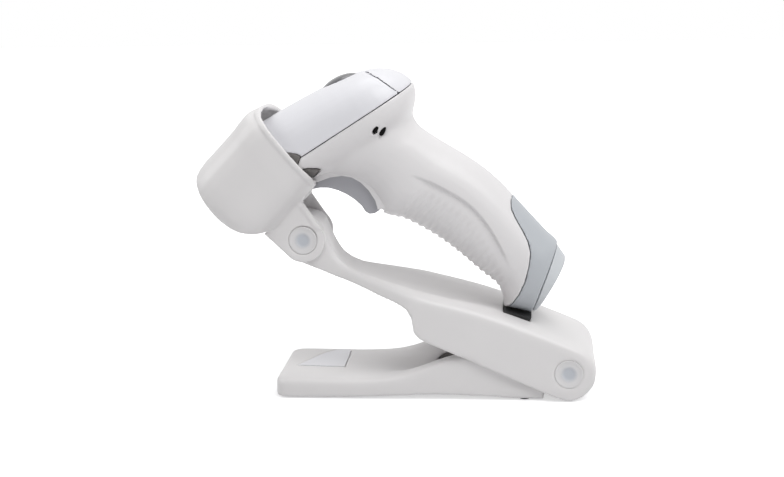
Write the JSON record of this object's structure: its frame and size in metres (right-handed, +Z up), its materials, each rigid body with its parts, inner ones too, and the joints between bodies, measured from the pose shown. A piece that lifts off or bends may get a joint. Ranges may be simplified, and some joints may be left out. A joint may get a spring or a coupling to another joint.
{
  "type": "microchip scanner",
  "caption": "Handheld pistol-grip scanner with a finger trigger, seated in a folding hands-free stand with a weighted base, a hinged arm and a tilting cup.",
  "frame": {"origin": "middle of the bounding box at the table", "axes": "+Z up, the nose of the scanner towards -X, +Y across the stand; the stand is symmetric about Y = 0"},
  "size_m": [0.22, 0.078, 0.1799],
  "materials": {
    "black_rubber": "matt",
    "board": "solder mask",
    "cap_white": "satin",
    "cell_wrap": "wrapped",
    "clear_window": "clear",
    "cool_grey_plastic": "fine satin",
    "engine_black": "satin",
    "gold_contact": "plated",
    "pale_grey_plastic": "fine satin",
    "smoked_plastic": "gloss",
    "steel": "turned",
    "washer_nylon": "moulded",
    "white_cover": "smooth satin",
    "white_plastic": "fine satin"
  },
  "bodies": {
    "base": {"stand_base": "white_plastic", "ballast_plate": "steel", "base_cover": "cool_grey_plastic", "foot_front_left": "black_rubber", "foot_front_right": "black_rubber", "foot_rear_left": "black_rubber", "foot_rear_right": "black_rubber", "base_inlay": "white_cover", "slot_plug": "black_rubber"},
    "arm": {"arm_shell": "white_plastic", "handle_seat": "black_rubber", "rear_hinge_pin": "steel", "rear_hinge_cap_left": "cap_white", "rear_hinge_cap_right": "cap_white", "rear_washer_left": "washer_nylon", "rear_washer_right": "washer_nylon"},
    "cup": {"holder_cup": "white_plastic", "front_hinge_pin": "steel", "front_hinge_cap_left": "cap_white", "front_hinge_cap_right": "cap_white", "front_washer_left": "washer_nylon", "front_washer_right": "washer_nylon"},
    "scanner": {"body_shell": "white_plastic", "top_cover": "white_cover", "rear_cap": "white_cover", "nose_bumper": "engine_black", "lower_cover": "cool_grey_plastic", "end_cap": "pale_grey_plastic", "scan_window": "clear_window", "indicator_lens": "smoked_plastic", "trigger_pin": "steel", "trigger_switch": "engine_black", "trigger_spring": "steel", "scan_engine": "engine_black", "engine_lens": "clear_window", "aiming_lamp_left": "pale_grey_plastic", "aiming_lamp_right": "pale_grey_plastic", "main_board": "board", "sounder": "engine_black", "battery_cell": "cell_wrap", "charge_contact_left": "gold_contact", "charge_contact_right": "gold_contact", "end_cap_screw": "steel"},
    "trigger": {"trigger": "cool_grey_plastic"}
  },
  "joints": [
    {"name": "rear_hinge", "type": "hinge", "parent": "base", "child": "arm", "pos_m": [0.0949, 0, 0.0158], "axis": [0, 1, 0], "range_deg": [-18, 40]},
    {"name": "front_hinge", "type": "hinge", "parent": "arm", "child": "cup", "pos_m": [-0.05198, 0, 0.08649], "axis": [0, -1, 0], "range_deg": [0, 40]},
    {"name": "scanner_lift", "type": "slide", "parent": "cup", "child": "scanner", "axis": [0.6921, 0, 0.7218], "range_m": [0, 0.11]},
    {"name": "trigger_pull", "type": "hinge", "parent": "scanner", "child": "trigger", "pos_m": [-0.0455, 0, 0.11873], "axis": [0, -1, 0], "range_deg": [0, 4], "stiffness_Nm_per_rad": 0.8, "springref_deg": -5.73}
  ]
}
